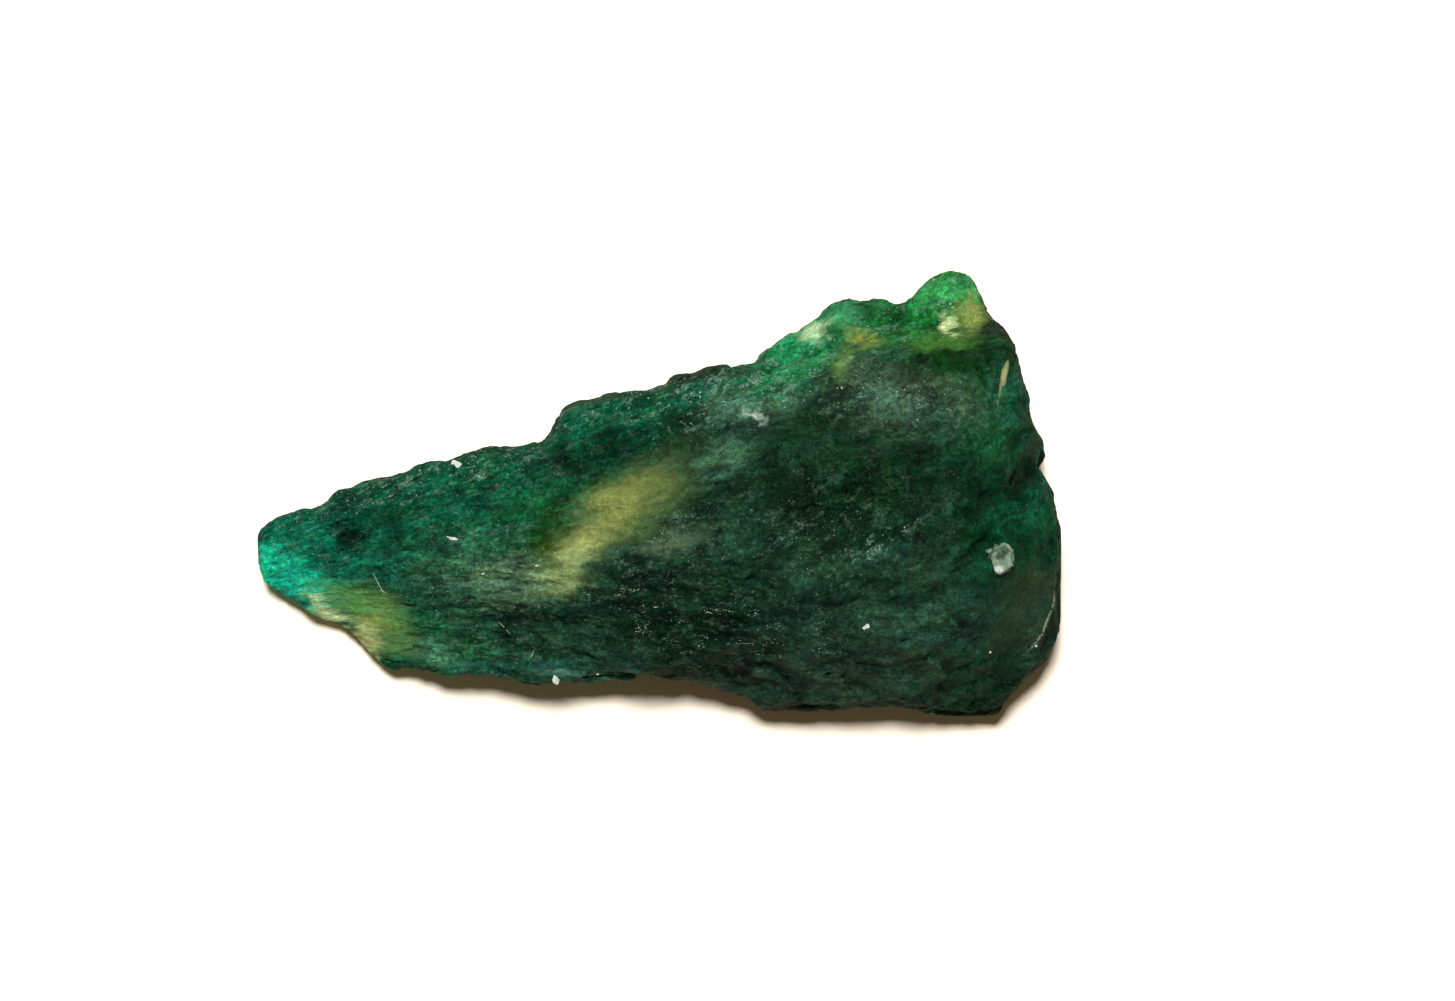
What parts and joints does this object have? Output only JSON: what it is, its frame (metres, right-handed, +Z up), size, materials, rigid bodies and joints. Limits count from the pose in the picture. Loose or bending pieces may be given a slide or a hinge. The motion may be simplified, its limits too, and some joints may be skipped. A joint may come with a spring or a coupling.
{
  "type": "rough grandidierite",
  "caption": "Rough wedge-shaped splinter of dark blue-green mineral, thin at one end, broad and thick at the other, lying on a flat break.",
  "frame": {"origin": "middle of the stone's box in plan, in the plane of the flat break that it lies on", "axes": "+X from the thin tip to the broad end, +Y towards the edge with the thin shelf, +Z up from the flat break"},
  "size_m": [0.0398, 0.022, 0.0096],
  "materials": {
    "grandidierite": "uneven, slightly translucent fracture, dark blue-green with teal, emerald and yellow patches"
  },
  "bodies": {
    "root": {"grandidierite_splinter": "grandidierite"}
  },
  "joints": []
}
